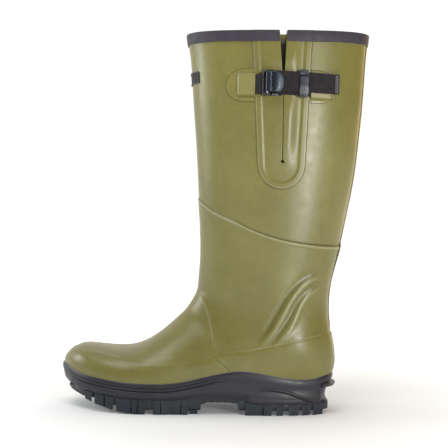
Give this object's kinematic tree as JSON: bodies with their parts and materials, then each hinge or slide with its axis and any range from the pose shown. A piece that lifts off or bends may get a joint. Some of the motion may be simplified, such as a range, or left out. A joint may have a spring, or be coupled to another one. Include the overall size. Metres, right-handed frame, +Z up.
{
  "type": "insulated hunting boot",
  "caption": "Knee-high insulated rubber boot with a calf gusset, an adjustable webbing strap with a lever buckle, a lugged sole and a removable footbed; left foot.",
  "frame": {"origin": "on the ground, at the middle of the boot's footprint with the buckle included", "axes": "+Z up the leg, -X towards the toe, -Y towards the outer side with the strap, +Y towards the inner side"},
  "size_m": [0.3258, 0.1204, 0.41],
  "materials": {
    "rubber": "satin moulded rubber",
    "binding": "matt rubber",
    "webbing": "woven webbing",
    "midsole": "satin moulded foam rubber",
    "outsole": "matt rubber",
    "buckle": "semi-gloss moulded plastic",
    "steel": "bright",
    "neoprene": "jersey-faced foam",
    "board": "fibre board",
    "foil": "foil-faced felt",
    "footbed": "brushed felt on foam"
  },
  "bodies": {
    "boot": {"shaft_shell": "rubber", "foot_shell": "rubber", "toe_guard": "rubber", "heel_overlay": "rubber", "gusset_panel": "rubber", "gusset_fold": "rubber", "back_strip": "rubber", "front_strap_patch": "rubber", "rear_strap_patch": "rubber", "top_binding": "binding", "front_label": "binding", "strap_anchor_tab": "webbing", "strap_run": "webbing", "buckle_frame": "buckle", "buckle_pin": "steel", "midsole": "midsole", "kick_off_spur": "midsole", "forefoot_outsole": "outsole", "heel_outsole": "outsole", "waist_plate": "outsole", "leg_liner": "neoprene", "foot_liner": "neoprene", "toe_puff": "board", "heel_counter": "board", "insole_board": "board", "shank": "steel", "thermal_layer": "foil", "footbed": "footbed"},
    "lever": {"buckle_lever": "buckle"},
    "tail": {"strap_tail": "webbing"},
    "keeper": {"strap_keeper": "buckle"}
  },
  "joints": [
    {"name": "lever_hinge", "type": "hinge", "parent": "boot", "child": "lever", "pos_m": [0.0508, -0.0576, 0.3492], "axis": [0, 0, -1], "range_deg": [0, 95]},
    {"name": "tail_slide", "type": "hinge", "parent": "boot", "child": "tail", "pos_m": [0.0646, 0.1338, 0.3492], "axis": [0, 0, 1], "range_deg": [-0.4, 2.7]},
    {"name": "keeper_slide", "type": "hinge", "parent": "boot", "child": "keeper", "pos_m": [0.0646, 0.1338, 0.3492], "axis": [0, 0, 1], "range_deg": [-4.3, 0.2]}
  ]
}
